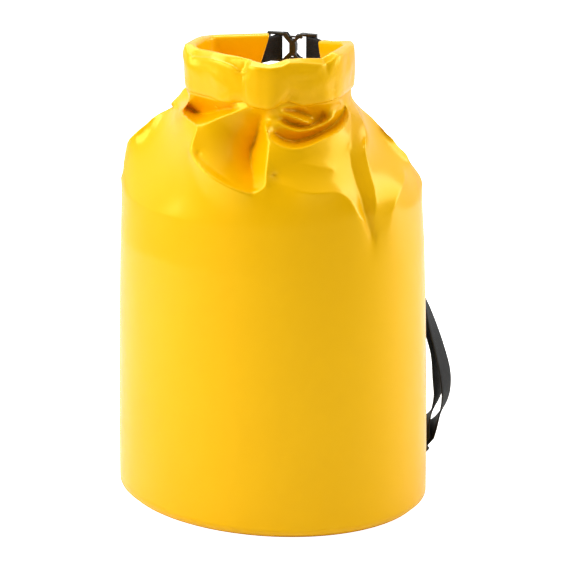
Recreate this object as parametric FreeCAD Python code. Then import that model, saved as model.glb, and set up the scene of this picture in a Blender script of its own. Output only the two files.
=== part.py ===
import FreeCAD, Part
import math
import os

# Roll-top dry bag worn on the back, closed and standing on its base.
# Frame: origin at the centre of the oval base on the floor, +Z up, +X to the bag's right,
# +Y to its back, where the closing buckle and the two shoulder straps are. Millimetres.

Vec = FreeCAD.Vector

# Bag body
HALF_WIDTH = 165.0          # oval base, half its long side, along X
HALF_DEPTH = 128.0          # oval base, half its short side, along Y
SHOULDER_Z = 335.0          # where the wall starts to close in
NECK_Z = 435.0              # top of the bag's wall, under the roll
WALL = 3.0                  # stand-in thickness for the coated fabric
NECK_HALF = 5.0             # half the thickness of the flattened neck
NECK_TUCK = 52.0            # width taken up by the folds below the roll
SHOULDER_ROUND = 1.25       # how softly the shoulder turns in
COLUMNS = 24                # facets along the front, and as many along the back
SHOULDER_ROWS = 16
HOLLOW_ROWS = 11            # the rows of the shoulder that are hollow, from the lowest

# Closing roll, bent round into a ring that is open at the back
ROLL_TURN = 46.0            # height of one fold of the roll
ROLL_HALF = 7.0             # half its thickness
CAVITY_HALF = 3.5           # half the thickness of the hollow in its middle
CAVITY_HEIGHT = 36.0
RING_RADIUS = 77.0
RING_HALF_LENGTH = 208.0    # from the middle of the front to one end
RING_FLATTEN = 0.92         # depth of the ring against its width
RING_FRONT_Y = -68.0
RING_STATIONS = 18          # on each half
PARTING = 0.2               # gap left between pieces that lie on each other

# Base
BASE_THICK = 3.0
FLANGE_HEIGHT = 20.0
FLANGE_THICK = 1.5

# Webbing
WEB_WIDTH = 25.0
WEB_THICK = 1.7
TAB_HALF = 1.3              # half the thickness of the doubled tab beside the buckle

# Closing buckle, side release
BUCKLE_X = 3.0
BUCKLE_Y = 79.0
BUCKLE_Z = ROLL_TURN / 2 + NECK_Z
BAR_OFFSET = 16.25          # web bars, from the middle of the buckle
BAR_RADIUS = 2.2
RAIL_IN = 12.9              # inner and outer height of the rails
RAIL_OUT = 15.2
FRAME_HALF = 2.6            # half thickness of rails and end bars
BODY_HALF = 4.2             # half thickness of the middle of the buckle
MALE_END = 28.0
FEMALE_END = 24.0
ROOT_S = -9.5               # where a prong bends, along and across the buckle
ROOT_T = 10.6
PRONG_HALF = 1.5            # half thickness of a prong

# Shoulder strap on the +X side; the other is its mirror image.
# Middle line of the load-bearing webbing, and the heading of its outer face in degrees.
STRAP_ROUTE = [
    (87.5, 112.5, 300.0, 63.0), (90.5, 111.8, 287.0, 60.0), (97.0, 112.5, 272.0, 42.0),
    (124.0, 116.5, 218.0, 42.0), (133.0, 114.5, 197.0, 24.0), (141.0, 112.5, 176.0, 6.0),
    (149.0, 110.5, 153.0, -5.0), (158.0, 108.5, 126.0, -11.0), (165.0, 107.0, 98.0, -14.0),
    (165.5, 104.5, 73.0, -6.0), (158.5, 100.5, 51.0, 14.0), (149.5, 96.2, 36.5, 44.0),
]
STRAIGHT_FROM = 2           # the slide travels between these two points of the route
RETURN_ROUTE = [
    (156.5, 106.5, 98.0, -14.0), (157.5, 104.0, 78.0, -8.0), (152.5, 100.0, 60.0, 8.0),
    (145.6, 94.2, 47.0, 36.0),
]
RETURN_OFFSET = 5.5         # how far inside the strap the returning webbing runs
RETURN_START = 9.0          # its first point, below the middle of the slide
RETURN_INSIDE = 3.6         # and how far inside the strap that point is
SLIDE_HALF = 10.0           # half the slide's length along the strap
SLIDE_THICK = 3.4           # its half thickness
SLIDE_BAR = 2.6             # width of its end bars along the strap
SLIDE_MIDDLE = 1.6          # half the width of its middle bar
SLIDE_CLEAR = 1.2           # room between the strap and the slide's rails, and its bars
SLIDE_RAIL = 2.4            # width of the rails
RING_BAR = Vec(141.0, 91.5, 29.0)       # bar of the lower ring that the strap goes round
LOOP_END = Vec(127.0, 84.5, 13.0)       # where the lower webbing reaches the wall
LANDING = [(125.4, 6.0), (126.2, 10.0), (127.0, 14.0)]      # X and Z of that webbing on the wall
RING_FACING = 46.0          # heading of the ring's outer side
RING_WIRE = 1.8
RING_PITCH = 9.5
RING_SLACK = 4.4
LOOP_GAP = 0.6              # play of the lower webbing round the ring's bar
LOOP_LEAD = 3.0
RING_GAP = 6.5              # the returning webbing starts this far before the bar
TWIST_STEPS = 6             # ribbon sections between two points of the route

# Reinforcing patches welded to the wall
PATCH_THICK = 1.5
LANDING_LIFT = PATCH_THICK + 1.6        # webbing's middle off the wall, clear of the curved patch
TOP_PATCH = (92.0, 27.0, 264.0, 306.0)      # middle X, half width, lowest and highest Z
LOW_PATCH = (124.0, 22.0, 2.0, 34.0)


def facet(corners):
    """One flat face through the corners, or two triangles where they are not flat."""
    distinct = [corners[0]]
    for point in corners[1:]:
        if point.distanceToPoint(distinct[-1]) > 1e-6:
            distinct.append(point)
    if distinct[0].distanceToPoint(distinct[-1]) < 1e-6:
        distinct.pop()
    if len(distinct) < 3:
        return []
    if len(distinct) == 4:
        a, b, c, d = distinct
        normal = (b - a).cross(c - a)
        if normal.Length < 1e-9 or abs(normal.dot(d - a)) / normal.Length > 1e-8:
            return facet([a, b, c]) + facet([a, c, d])
    if len(distinct) == 3 and (distinct[1] - distinct[0]).cross(distinct[2] - distinct[0]).Length < 1e-7:
        return []
    return [Part.Face(Part.makePolygon(distinct + [distinct[0]]))]


def skin(loops, closed):
    """Solid skinned over loops of points. A closed skin joins the last loop to the first."""
    faces = []
    count = len(loops[0])
    for index in range(len(loops) if closed else len(loops) - 1):
        lower = loops[index]
        upper = loops[(index + 1) % len(loops)]
        for k in range(count):
            after = (k + 1) % count
            corners = [lower[k], lower[after], upper[after], upper[k]]
            faces += facet(corners[1:] + corners[:1] if k >= count // 2 else corners)
    if not closed:
        faces += [Part.Face(Part.makePolygon(loop + [loop[0]])) for loop in (loops[0], loops[-1])]
    shell = Part.makeShell(faces)
    shell.sewShape()
    solid = Part.makeSolid(shell)
    if solid.Volume < 0:
        solid.reverse()
    return solid


def ring_frame(along, bend=1.0):
    """Point and outward normal at a distance along the ring's middle line, 0 at the front."""
    curvature = bend / RING_RADIUS
    if curvature < 1e-9:
        return along, 0.0, 0.0, -1.0
    turn = along * curvature
    x = math.sin(turn) / curvature
    y = RING_FLATTEN * (1 - math.cos(turn)) / curvature
    nx = RING_FLATTEN * math.sin(turn)
    ny = -math.cos(turn)
    size = math.hypot(nx, ny)
    return x, y, nx / size, ny / size


def bag_loop(rise, inset):
    """Section of the bag: an oval at rise 0, closing to the neck's bent flat band at rise 1."""
    closing = rise ** SHOULDER_ROUND
    half_width = HALF_WIDTH - inset
    tip = half_width + closing * (RING_HALF_LENGTH - HALF_WIDTH) - NECK_TUCK * math.sin(math.pi * closing)
    loop = []
    for step in range(2 * COLUMNS):
        back = step >= COLUMNS
        across = -1 + 2 * (step % COLUMNS) / COLUMNS
        if back:
            across = -across
        lean = math.cos(across * math.pi / 2)
        thick = (1 - closing) * (HALF_DEPTH - inset) * lean
        thick += closing * (NECK_HALF - inset) * (1 - across ** 8)
        wide = (1 - closing) * math.sin(across * math.pi / 2) + closing * across
        x, y, nx, ny = ring_frame(tip * wide, closing)
        side = -thick if back else thick
        height = SHOULDER_Z + (NECK_Z - SHOULDER_Z) * rise
        loop.append(Vec(x + nx * side, RING_FRONT_Y * closing + y + ny * side, height))
    return loop


def oval(inset, height):
    """The bag's straight section at a height."""
    return [Vec(point.x, point.y, height) for point in bag_loop(0.0, inset)]


def make_body_wall():
    """Wall and shoulder, open below. The folds gathered into the neck are one solid."""
    rises = [row / SHOULDER_ROWS for row in range(SHOULDER_ROWS + 1)]
    outside = [oval(0.0, 0.0)] + [bag_loop(rise, 0.0) for rise in rises]
    inside = [oval(WALL, 0.0)] + [bag_loop(rise, WALL) for rise in rises[:HOLLOW_ROWS]]
    return skin(inside[::-1] + outside, False)


def make_base_disc():
    outline = [oval(WALL + PARTING, 0.0), oval(WALL + PARTING, BASE_THICK)]
    return skin(outline, False)


def make_weld_flange():
    outer = WALL + PARTING
    inner = outer + FLANGE_THICK
    low = BASE_THICK + PARTING
    high = low + FLANGE_HEIGHT
    return skin([oval(outer, low), oval(outer, high), oval(inner, high), oval(inner, low)], True)


def roll_section(along, half_thick, height):
    """Flat-sided section with round top and bottom, across the roll at one station."""
    x, y, nx, ny = ring_frame(along)
    middle = Vec(x, y + RING_FRONT_Y, BUCKLE_Z)
    across = Vec(nx, ny, 0)
    straight = height / 2 - half_thick
    loop = []
    for k in range(12):
        angle = math.radians(30 * k + 15)
        lift = straight if math.sin(angle) > 0 else -straight
        loop.append(middle + across * (half_thick * math.cos(angle))
                    + Vec(0, 0, lift + half_thick * math.sin(angle)))
    return loop


def ring_stations(half_length):
    return [half_length * k / RING_STATIONS for k in range(-RING_STATIONS, RING_STATIONS + 1)]


def make_closure_roll():
    stations = ring_stations(RING_HALF_LENGTH)
    outside = [roll_section(s, ROLL_HALF, ROLL_TURN - 2 * PARTING) for s in stations]
    inside = [roll_section(s, CAVITY_HALF, CAVITY_HEIGHT) for s in stations]
    return skin(outside + inside[::-1], True)


def make_mouth_stiffener():
    stations = ring_stations(RING_HALF_LENGTH - 30)
    return skin([roll_section(s, 0.8, 28.0) for s in stations], False)


def ribbon(points, normals, width, thick):
    """Flat webbing along points; normals are those of its outer face."""
    loops = []
    for index, point in enumerate(points):
        before = points[max(index - 1, 0)]
        after = points[min(index + 1, len(points) - 1)]
        along = (after - before).normalize()
        across = along.cross(normals[index]).normalize()
        out = across.cross(along).normalize()
        half_w = across * (width / 2)
        half_t = out * (thick / 2)
        loops.append([point + half_w + half_t, point - half_w + half_t,
                      point - half_w - half_t, point + half_w - half_t])
    return skin(loops, False)


def smooth_route(route, straight):
    """Points and outer-face normals on a smooth curve that is straight between two of its points."""
    places = [Vec(*entry[:3]) for entry in route]
    tangents = [Vec(1, 0, 0)] * len(route)
    pinned = [False] * len(route)
    for index in straight:
        tangents[index] = places[straight[1]] - places[straight[0]]
        pinned[index] = True
    curve = Part.BSplineCurve()
    curve.interpolate(Points=places, Tangents=tangents, TangentFlags=pinned)
    knots = curve.getKnots()
    points = []
    normals = []
    for index in range(len(route) - 1):
        for step in range(TWIST_STEPS):
            share = step / TWIST_STEPS
            points.append(curve.value(knots[index] + share * (knots[index + 1] - knots[index])))
            normals.append(heading(route[index][3] + share * (route[index + 1][3] - route[index][3])))
    points.append(Vec(*route[-1][:3]))
    normals.append(heading(route[-1][3]))
    return points, normals


def heading(degrees):
    angle = math.radians(degrees)
    return Vec(math.cos(angle), math.sin(angle), 0)


def ring_axes():
    """Pull direction of the lower ring, its outward normal and its bar's direction."""
    pull = (LOOP_END - RING_BAR).normalize()
    bar = pull.cross(heading(RING_FACING)).normalize()
    return pull, bar.cross(pull).normalize(), bar


def make_shoulder_strap():
    pull, out, _ = ring_axes()
    points, normals = smooth_route(STRAP_ROUTE, (STRAIGHT_FROM, STRAIGHT_FROM + 1))
    reach = RING_WIRE + PARTING + WEB_THICK / 2
    for degrees in range(0, 181, 30):
        angle = math.radians(degrees)
        points.append(RING_BAR + out * (reach * math.cos(angle)) + pull * (reach * math.sin(angle)))
        normals.append(out * math.cos(angle) + pull * math.sin(angle))
    return ribbon(points, normals, WEB_WIDTH, WEB_THICK)


def straight_line():
    """Middle of the strap's straight stretch, its direction, its outer normal and its width's."""
    start = Vec(*STRAP_ROUTE[STRAIGHT_FROM][:3])
    end = Vec(*STRAP_ROUTE[STRAIGHT_FROM + 1][:3])
    along = (end - start).normalize()
    across = along.cross(heading(STRAP_ROUTE[STRAIGHT_FROM][3])).normalize()
    return (start + end) * 0.5, along, across.cross(along).normalize(), across


def make_strap_return():
    """The webbing that comes back up from the ring, inside the strap, to the slide."""
    pull, out, _ = ring_axes()
    slide, along, outward, _ = straight_line()
    first = slide + along * RETURN_START - outward * RETURN_INSIDE
    route = [tuple(first) + (STRAP_ROUTE[STRAIGHT_FROM][3],)]
    for x, y, z, degrees in STRAP_ROUTE[STRAIGHT_FROM + 1:STRAIGHT_FROM + 6]:
        route.append(tuple(Vec(x, y, z) - heading(degrees) * RETURN_OFFSET) + (degrees,))
    route += RETURN_ROUTE
    points, normals = smooth_route(route, (0, 1))
    reach = RING_WIRE + PARTING + WEB_THICK / 2
    points.append(RING_BAR - out * (reach + 2 * PARTING) - pull * RING_GAP)
    normals.append(out)
    return ribbon(points, normals, WEB_WIDTH, WEB_THICK)


def block(origin, axes, low, high):
    """Box between two corners given along three axes from an origin."""
    corners = []
    for pick in ((0, 0), (1, 0), (1, 1), (0, 1)):
        a = high[0] if pick[0] else low[0]
        b = high[1] if pick[1] else low[1]
        corners.append(origin + axes[0] * a + axes[1] * b + axes[2] * low[2])
    base = Part.Face(Part.makePolygon(corners + [corners[0]]))
    return base.extrude(axes[2] * (high[2] - low[2]))


def make_strap_slide():
    """Three-bar slide: two end bars outside the strap and a middle bar inside it."""
    origin, along, out, across = straight_line()
    axes = (along, across, out)
    rail = WEB_WIDTH / 2 + SLIDE_CLEAR
    edge = rail + SLIDE_RAIL
    body = block(origin, axes, (-SLIDE_HALF, rail, -SLIDE_THICK), (SLIDE_HALF, edge, SLIDE_THICK))
    body = body.fuse(block(origin, axes, (-SLIDE_HALF, -edge, -SLIDE_THICK), (SLIDE_HALF, -rail, SLIDE_THICK)))
    for place in (-SLIDE_HALF, SLIDE_HALF - SLIDE_BAR):
        bar = block(origin, axes, (place, -edge, SLIDE_CLEAR), (place + SLIDE_BAR, edge, SLIDE_THICK))
        body = body.fuse(bar)
    middle = block(origin, axes, (-SLIDE_MIDDLE, -edge, -SLIDE_THICK), (SLIDE_MIDDLE, edge, -SLIDE_CLEAR))
    return body.fuse(middle).removeSplitter()


def make_lower_ring():
    """Wire ring of two long bars joined by two short ones."""
    pull, _, bar = ring_axes()
    half = WEB_WIDTH / 2 + RING_SLACK
    near = [RING_BAR + bar * half, RING_BAR - bar * half]
    far = [near[1] + pull * RING_PITCH, near[0] + pull * RING_PITCH]
    corners = near + far
    body = Part.makeSphere(RING_WIRE, corners[0])
    for index, corner in enumerate(corners):
        reach = corners[(index + 1) % 4] - corner
        body = body.fuse(Part.makeCylinder(RING_WIRE, reach.Length, corner, reach))
        body = body.fuse(Part.makeSphere(RING_WIRE, corner))
    return body.removeSplitter()


def make_lower_loop():
    """Webbing that goes from the patch round the far bar of the ring and back to the patch."""
    pull, out, _ = ring_axes()
    bar = RING_BAR + pull * RING_PITCH
    reach = RING_WIRE + LOOP_GAP + WEB_THICK / 2
    points = []
    normals = []
    for x, z in LANDING:
        point, normal = wall_point(x, LANDING_LIFT)
        points.append(point + Vec(0, 0, z))
        normals.append(normal)
    points.append(bar - out * reach + pull * LOOP_LEAD)
    normals.append(out)
    for degrees in range(180, -1, -30):
        angle = math.radians(degrees)
        points.append(bar + out * (reach * math.cos(angle)) - pull * (reach * math.sin(angle)))
        normals.append(out * -math.cos(angle) + pull * math.sin(angle))
    points.append(bar + out * reach + pull * LOOP_LEAD)
    normals.append(out * -1)
    for x, z in reversed(LANDING):
        point, normal = wall_point(x, LANDING_LIFT + WEB_THICK + LOOP_GAP)
        points.append(point + Vec(0, 0, z))
        normals.append(normal * -1)
    return ribbon(points, normals, WEB_WIDTH, WEB_THICK)


def wall_point(x, lift):
    """Point on the back of the straight wall at an X, lifted off it, and the wall's normal."""
    angle = math.asin(x / HALF_WIDTH)
    y = HALF_DEPTH * math.cos(angle)
    normal = Vec(x / HALF_WIDTH ** 2, y / HALF_DEPTH ** 2, 0).normalize()
    return Vec(x, y, 0) + normal * lift, normal


def make_patch(middle, half, low, high):
    """Curved patch lying on the back wall."""
    columns = 10
    under = []
    over = []
    for k in range(columns + 1):
        x = middle - half + 2 * half * k / columns
        under.append(wall_point(x, PARTING)[0])
        over.append(wall_point(x, PATCH_THICK)[0])
    outline = under + over[::-1]
    return skin([[Vec(p.x, p.y, z) for p in outline] for z in (low, high)], False)


def plate(outline, half_thick):
    """Flat plate in the buckle's plane from (along, height) points, centred on its thickness."""
    corners = [Vec(BUCKLE_X + s, BUCKLE_Y - half_thick, BUCKLE_Z + t) for s, t in outline]
    return Part.Face(Part.makePolygon(corners + [corners[0]])).extrude(Vec(0, 2 * half_thick, 0))


def mirrored(outline):
    return [(s, -t) for s, t in outline]


def rectangle(s0, t0, s1, t1):
    return [(s0, t0), (s1, t0), (s1, t1), (s0, t1)]


def web_bar(s):
    return Part.makeCylinder(BAR_RADIUS, 2 * RAIL_IN + 1, Vec(BUCKLE_X + s, BUCKLE_Y, BUCKLE_Z - RAIL_IN - 0.5))


def both(make, outline, half_thick):
    """An outline's plate and its mirror image below the middle of the buckle."""
    return make(outline, half_thick).fuse(make(mirrored(outline), half_thick))


def make_buckle_female():
    """Right half: web frame, two slotted arms with a catch each, and the socket post."""
    body = plate(rectangle(FEMALE_END - 2.5, -RAIL_OUT, FEMALE_END, RAIL_OUT), FRAME_HALF)
    body = body.fuse(both(plate, rectangle(9.0, RAIL_IN, FEMALE_END, RAIL_OUT), FRAME_HALF))
    body = body.fuse(web_bar(BAR_OFFSET))
    body = body.fuse(plate([(-2.0, -8.5), (0.8, -8.0), (2.6, -3.5), (2.6, 3.5), (0.8, 8.0), (-2.0, 8.5)],
                           BODY_HALF))
    arm = [(-2.0, 5.5), (1.2, 5.5), (5.0, 9.4), (9.6, RAIL_IN), (14.0, RAIL_IN), (13.0, RAIL_OUT),
           (7.5, RAIL_OUT), (4.5, 13.8), (0.0, 8.4), (-2.0, 8.4)]
    body = body.fuse(both(plate, arm, BODY_HALF))
    room = rectangle(-3.0, 7.2, 10.5, 14.0)
    body = body.cut(both(plate, room, PRONG_HALF + 0.3))
    tongue = plate(rectangle(-3.0, -3.4, 1.8, 3.4), 1.6)
    body = body.cut(tongue)
    catch = rectangle(2.6, 12.2, 4.4, 13.8)
    return body.fuse(both(plate, catch, BODY_HALF - 0.4)).removeSplitter()


def make_buckle_male():
    """Left half: web frame, two arms that carry the prongs, and the guide tongue."""
    body = plate(rectangle(-MALE_END, -RAIL_OUT, 2.5 - MALE_END, RAIL_OUT), FRAME_HALF)
    body = body.fuse(both(plate, rectangle(-MALE_END, RAIL_IN, -9.0, RAIL_OUT), FRAME_HALF))
    body = body.fuse(web_bar(-BAR_OFFSET))
    arm = [(-14.0, RAIL_IN), (-12.0, RAIL_IN), (-4.6, 4.6), (-4.6, 0.0), (-2.3, 0.0), (-2.3, 8.2),
           (-7.5, RAIL_OUT), (-13.0, RAIL_OUT)]
    body = body.fuse(both(plate, arm, FRAME_HALF + 0.6))
    body = body.fuse(plate(rectangle(-4.6, -3.0, 1.4, 3.0), 1.3))
    room = [(ROOT_S - 1.8, 8.0), (-1.0, 8.0), (-1.0, 16.0), (ROOT_S - 1.8, 16.0)]
    return body.cut(both(plate, room, PRONG_HALF + 0.3)).removeSplitter()


def make_prong(sign):
    """Springy arm with a barbed head that sits behind the female half's catch."""
    stem = [(ROOT_S, ROOT_T - 0.8), (-4.0, 10.3), (0.0, 10.5), (5.0, 10.0), (8.0, 9.6), (9.0, 10.4),
            (6.6, 13.5), (4.7, 13.5), (4.5, 11.4), (0.0, 12.0), (-4.0, 11.9), (ROOT_S, ROOT_T + 0.8)]
    root = Part.makeCylinder(0.8, 2 * PRONG_HALF, Vec(BUCKLE_X + ROOT_S, BUCKLE_Y - PRONG_HALF,
                                                     BUCKLE_Z + sign * ROOT_T), Vec(0, 1, 0))
    outline = stem if sign > 0 else mirrored(stem)
    return plate(outline, PRONG_HALF).fuse(root).removeSplitter()


def make_webbing_tab(side):
    """Doubled webbing from inside the end of the roll to the web bar of one buckle half."""
    bar_x = BUCKLE_X + side * BAR_OFFSET
    line = []
    for along in (RING_HALF_LENGTH - 22, RING_HALF_LENGTH - 11, RING_HALF_LENGTH):
        x, y, _, _ = ring_frame(side * along)
        line.append(Vec(x, y + RING_FRONT_Y, 0))
    line.append(Vec(bar_x, BUCKLE_Y, 0))
    upper = []
    lower = []
    for index, point in enumerate(line):
        before = line[max(index - 1, 0)]
        after = line[min(index + 1, len(line) - 1)]
        along = (after - before).normalize()
        across = Vec(-along.y, along.x, 0) * TAB_HALF
        upper.append(point + across)
        lower.append(point - across)
    outline = upper + lower[::-1]
    height = Vec(0, 0, WEB_WIDTH)
    foot = Vec(0, 0, BUCKLE_Z - WEB_WIDTH / 2)
    flat = Part.Face(Part.makePolygon([point + foot for point in outline + [outline[0]]]))
    centre = Vec(bar_x, BUCKLE_Y, foot.z)
    tab = flat.extrude(height).fuse(Part.makeCylinder(BAR_RADIUS + 0.3 + 1.5, WEB_WIDTH, centre))
    return tab.cut(Part.makeCylinder(BAR_RADIUS + 0.3, WEB_WIDTH, centre)).removeSplitter()


def mirror_x(shape):
    return shape.mirror(Vec(0, 0, 0), Vec(1, 0, 0))


def save(node, shape):
    solids = shape.Solids
    assert shape.isValid() and len(solids) == 1, node
    shape = solids[0]
    if shape.Volume < 0:
        shape.reverse()
    shape.exportStep("parts/%s.step" % node)
    box = shape.BoundBox
    print("%-24s %9.1f mm3  x %.1f..%.1f  y %.1f..%.1f  z %.1f..%.1f" % (
        node, shape.Volume, box.XMin, box.XMax, box.YMin, box.YMax, box.ZMin, box.ZMax))


os.makedirs("parts", exist_ok=True)

save("body_wall", make_body_wall())
save("base_disc", make_base_disc())
save("base_weld_flange", make_weld_flange())
save("closure_roll", make_closure_roll())
save("mouth_stiffener", make_mouth_stiffener())
save("webbing_tab_left", make_webbing_tab(-1))
save("webbing_tab_right", make_webbing_tab(1))
save("buckle_female", make_buckle_female())
save("buckle_male", make_buckle_male())
save("prong_upper", make_prong(1))
save("prong_lower", make_prong(-1))

SIDE_PIECES = {
    "top_anchor_patch": make_patch(*TOP_PATCH),
    "shoulder_strap": make_shoulder_strap(),
    "strap_return": make_strap_return(),
    "strap_slide": make_strap_slide(),
    "lower_ring": make_lower_ring(),
    "lower_anchor_loop": make_lower_loop(),
    "lower_anchor_patch": make_patch(*LOW_PATCH),
}
for name, piece in SIDE_PIECES.items():
    save(name + "_right", piece)
    save(name + "_left", mirror_x(piece))

_, slide_along, _, _ = straight_line()
print("slide direction", [round(value, 4) for value in slide_along])
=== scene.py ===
"""Looks of the roll-top dry bag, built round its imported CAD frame, in the frame's own axes.

The object's sizes are millimetres and turn into metres in mesh_object. Textures, camera and lights
are in metres.
"""
import math

import bpy
import numpy as np
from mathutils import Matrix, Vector


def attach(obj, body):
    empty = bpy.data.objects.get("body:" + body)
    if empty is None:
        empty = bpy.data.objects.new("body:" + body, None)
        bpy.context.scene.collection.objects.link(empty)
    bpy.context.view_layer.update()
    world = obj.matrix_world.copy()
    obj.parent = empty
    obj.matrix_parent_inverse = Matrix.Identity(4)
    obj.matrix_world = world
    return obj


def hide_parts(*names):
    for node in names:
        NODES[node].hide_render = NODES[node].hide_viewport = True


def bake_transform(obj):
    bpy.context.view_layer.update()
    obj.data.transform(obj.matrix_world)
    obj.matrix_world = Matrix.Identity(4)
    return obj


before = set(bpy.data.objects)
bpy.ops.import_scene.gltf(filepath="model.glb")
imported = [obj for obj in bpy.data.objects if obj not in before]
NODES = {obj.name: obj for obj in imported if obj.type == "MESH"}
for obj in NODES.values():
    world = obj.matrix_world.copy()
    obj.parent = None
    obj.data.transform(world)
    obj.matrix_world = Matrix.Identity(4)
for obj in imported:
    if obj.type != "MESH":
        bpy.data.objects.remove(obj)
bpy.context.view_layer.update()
MM = 0.001

# Bag body: the same driving sizes as the CAD source
HALF_WIDTH = 165.0
HALF_DEPTH = 128.0
SHOULDER_Z = 335.0
NECK_Z = 435.0
NECK_HALF = 5.0
NECK_TUCK = 52.0
RING_RADIUS = 77.0
RING_HALF_LENGTH = 208.0
RING_FLATTEN = 0.92
RING_FRONT_Y = -68.0
ROLL_MIDDLE_Z = 458.0
WEB_WIDTH = 25.0
WEB_THICK = 1.7

CLOSING_POWER = 1.6         # of the steady half of the closing-in; the other half eases in and out
BEND_FROM = 0.58            # share of the closing-in from which the neck bends tighter
UPPER_TAPER = 0.062         # how much narrower the filled bag is at its shoulder than at its base
BOTTOM_ROUND = 6.5          # radius of the turned-under bottom edge
FRONT_COLUMNS = 320
BACK_COLUMNS = 160
WALL_ROWS = 84
SHOULDER_ROWS = 104
WAIST = 0.25                # how much tighter the neck bends just below the roll
TUCK_ROWS = 6
TUCK_HEIGHT = 13.0          # how far the neck reaches up inside the roll
TUCK_THINNING = 0.75        # share of its thickness that the neck loses on the way


# ---------------------------------------------------------------- small tools

def unit(vectors):
    size = np.linalg.norm(vectors, axis=-1, keepdims=True)
    return vectors / np.maximum(size, 1e-12)


def smooth_step(value):
    value = np.clip(value, 0.0, 1.0)
    return value * value * (3 - 2 * value)


def catmull(points, steps):
    """Smooth curve through the given points, with any number of columns."""
    points = np.array(points, float)
    padded = np.vstack([2 * points[0] - points[1], points, 2 * points[-1] - points[-2]])
    share = np.linspace(0, 1, steps, endpoint=False)[:, None]
    out = []
    for k in range(1, len(padded) - 2):
        a, b, c, d = padded[k - 1:k + 3]
        out.append(0.5 * (2 * b + (c - a) * share + (2 * a - 5 * b + 4 * c - d) * share ** 2
                          + (3 * b - a - 3 * c + d) * share ** 3))
    return np.vstack(out + [points[-1:]])


def resample(points, count):
    """The same line with evenly spaced points."""
    gaps = np.linalg.norm(np.diff(points[:, :3], axis=0), axis=1)
    run = np.concatenate([[0], np.cumsum(gaps)])
    places = np.linspace(0, run[-1], count)
    return np.stack([np.interp(places, run, column) for column in points.T], 1)


def round_corners(line, reach):
    """Averages each point with its neighbours, twice; the ends stay."""
    for _ in range(2):
        before = 2 * line[:1] - line[reach:0:-1]
        beyond = 2 * line[-1:] - line[-2:-reach - 2:-1]
        padded = np.concatenate([before, line, beyond])
        total = np.cumsum(np.concatenate([np.zeros((1, line.shape[1])), padded]), axis=0)
        line = (total[2 * reach + 1:] - total[:-2 * reach - 1]) / (2 * reach + 1)
    return line


def mesh_object(name, points, faces, uvs=None, smooth=True):
    """Object from points in millimetres and faces; uvs are per point."""
    mesh = bpy.data.meshes.new(name)
    mesh.from_pydata((np.asarray(points) * MM).tolist(), [], [list(map(int, face)) for face in faces])
    if uvs is not None:
        layer = mesh.uv_layers.new(name="UVMap")
        corners = np.zeros(len(mesh.loops), np.int32)
        mesh.loops.foreach_get("vertex_index", corners)
        layer.data.foreach_set("uv", np.asarray(uvs, np.float32)[corners].ravel())
    mesh.polygons.foreach_set("use_smooth", [smooth] * len(mesh.polygons))
    mesh.update()
    piece = bpy.data.objects.new(name, mesh)
    bpy.context.scene.collection.objects.link(piece)
    return piece


def grid_faces(rows, columns, closed=False):
    """Quads of a grid stored row by row; a closed grid joins its last column to its first."""
    row = np.arange(rows - 1)[:, None] * columns
    column = np.arange(columns if closed else columns - 1)[None, :]
    after = (column + 1) % columns
    quads = np.stack([row + column, row + after, row + columns + after, row + columns + column], -1)
    return quads.reshape(-1, 4)


def add_modifier(piece, kind, **settings):
    modifier = piece.modifiers.new(kind.title(), kind)
    for key, value in settings.items():
        setattr(modifier, key, value)
    return modifier


def bake_modifiers(piece):
    """Replaces the piece's mesh by what its modifiers make of it."""
    graph = bpy.context.evaluated_depsgraph_get()
    mesh = bpy.data.meshes.new_from_object(piece.evaluated_get(graph))
    piece.modifiers.clear()
    piece.data = mesh


# ---------------------------------------------------------------- materials

class Nodes:
    """Short way to write a material's node tree."""

    def __init__(self, name):
        self.material = bpy.data.materials.new(name)
        self.material.use_nodes = True
        self.tree = self.material.node_tree
        self.shader = self.tree.nodes["Principled BSDF"]

    def add(self, kind, settings=(), **inputs):
        node = self.tree.nodes.new("ShaderNode" + kind)
        for key, value in dict(settings).items():
            setattr(node, key, value)
        for key, value in inputs.items():
            self.feed(node, key.replace("_", " "), value)
        return node

    def feed(self, node, key, value):
        socket = node.inputs[int(key)] if key.isdigit() else node.inputs[key]
        if isinstance(value, bpy.types.NodeSocket):
            self.tree.links.new(value, socket)
        else:
            socket.default_value = value

    def math(self, operation, first, second=0.0):
        node = self.add("Math", {"operation": operation})
        self.feed(node, "0", first)
        self.feed(node, "1", second)
        return node.outputs[0]

    def noise(self, scale, detail=3.0, stretch=(1, 1, 1)):
        where = self.add("TexCoord").outputs["Object"]
        mapping = self.add("Mapping", Vector=where, Scale=stretch)
        node = self.add("TexNoise", Vector=mapping.outputs[0], Scale=scale, Detail=detail)
        return node.outputs["Fac"]

    def ramp(self, value, low, high, low_out=0.0, high_out=1.0):
        node = self.add("MapRange")
        for key, entry in (("Value", value), ("From Min", low), ("From Max", high),
                           ("To Min", low_out), ("To Max", high_out)):
            self.feed(node, key, entry)
        return node.outputs[0]

    def mix(self, share, first, second):
        node = self.add("Mix", {"data_type": "RGBA"})
        self.feed(node, "0", share)
        self.feed(node, "6", first)
        self.feed(node, "7", second)
        return node.outputs[2]

    def bump(self, height, distance, strength=1.0, under=None):
        node = self.add("Bump", Height=height, Distance=distance, Strength=strength)
        if under is not None:
            self.feed(node, "Normal", under)
        return node.outputs[0]

    def finish(self, **inputs):
        for key, value in inputs.items():
            self.feed(self.shader, key.replace("_", " "), value)
        return self.material


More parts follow.
